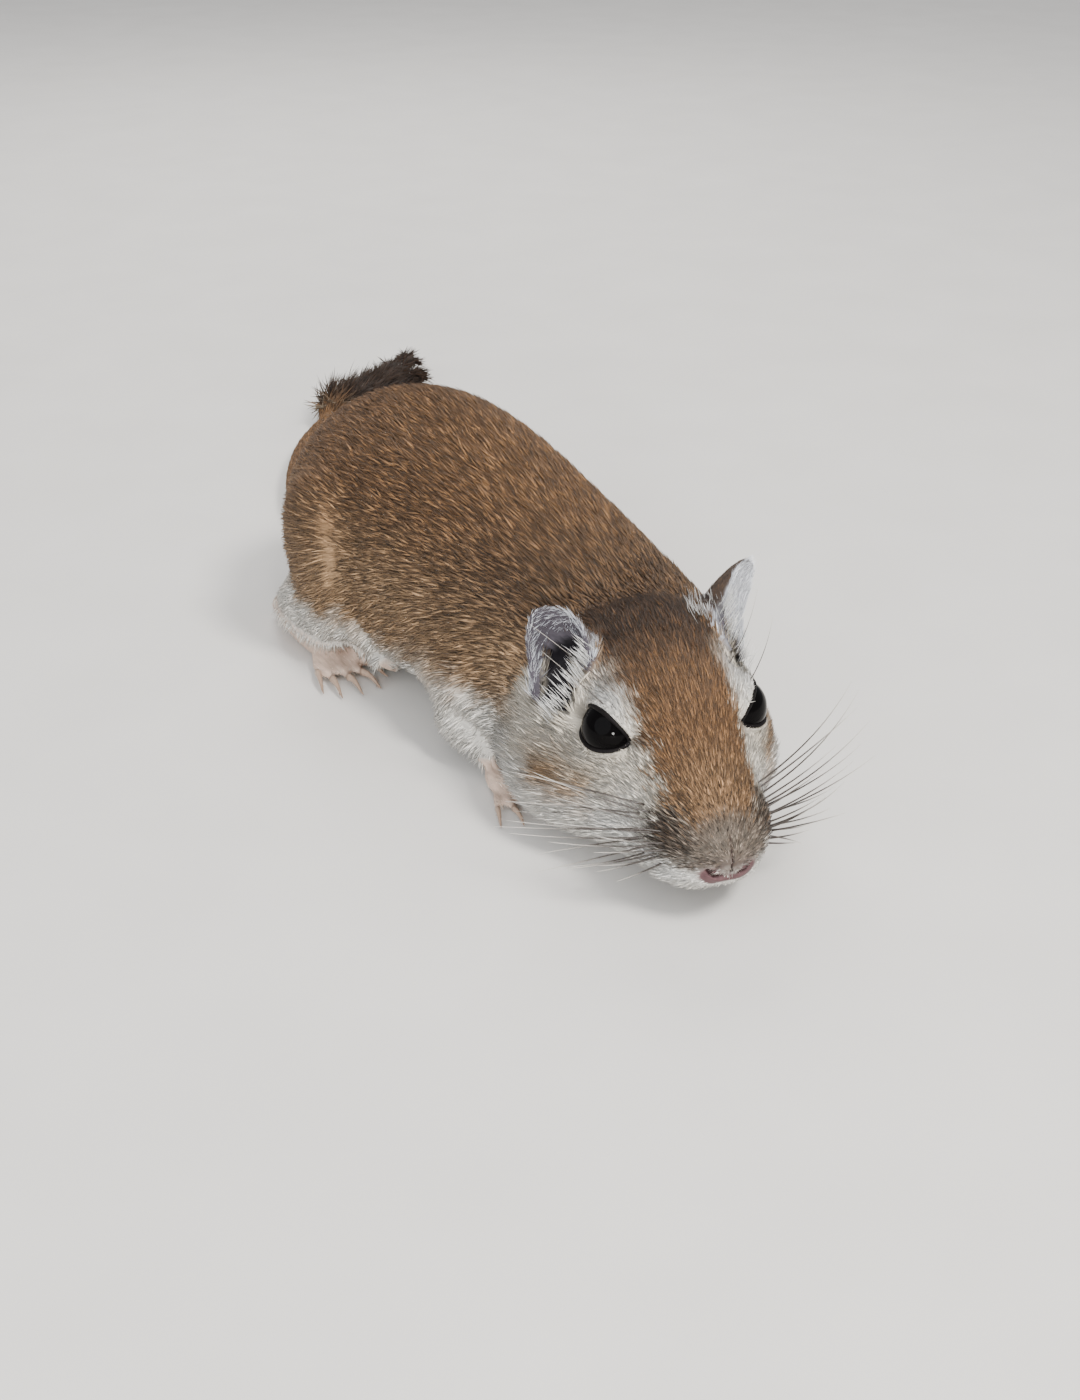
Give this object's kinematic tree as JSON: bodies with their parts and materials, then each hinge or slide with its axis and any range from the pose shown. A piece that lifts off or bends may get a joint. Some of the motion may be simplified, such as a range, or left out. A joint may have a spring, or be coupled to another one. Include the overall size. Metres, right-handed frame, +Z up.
{
  "type": "gerbil",
  "caption": "Still, life-size model of a gerbil crouched with its head low and turned aside, in a golden coat with a pale face and belly and a tufted tail laid on the floor.",
  "frame": {"origin": "middle of the belly's small flat, on the floor", "axes": "+Z up, -Y from the rump to the forequarters, +X to the animal's left"},
  "size_m": [0.0827, 0.1851, 0.0408],
  "materials": {
    "coat_back": "short soft fur, golden brown with darker tips",
    "coat_face": "short soft fur, ginger cap and pale cheeks",
    "coat_pale": "soft cream fur",
    "ear_skin": "thin grey skin with short white hairs",
    "eye": "wet gloss, black",
    "foot_skin": "pinkish skin with fine pale hairs",
    "tail_tuft": "coarser dark brown hair"
  },
  "bodies": {
    "root": {"head": "coat_face", "ear_left": "ear_skin", "ear_right": "ear_skin", "eye_left": "eye", "eye_right": "eye", "neck": "coat_pale", "torso": "coat_back", "rump": "coat_back", "hind_leg_left": "coat_back", "hind_leg_right": "coat_back", "hind_foot_left": "foot_skin", "hind_foot_right": "foot_skin", "foreleg_left": "coat_pale", "foreleg_right": "coat_pale", "forefoot_left": "foot_skin", "forefoot_right": "foot_skin", "tail_base": "coat_back", "tail_middle": "coat_back", "tail_tip": "tail_tuft"}
  },
  "joints": []
}
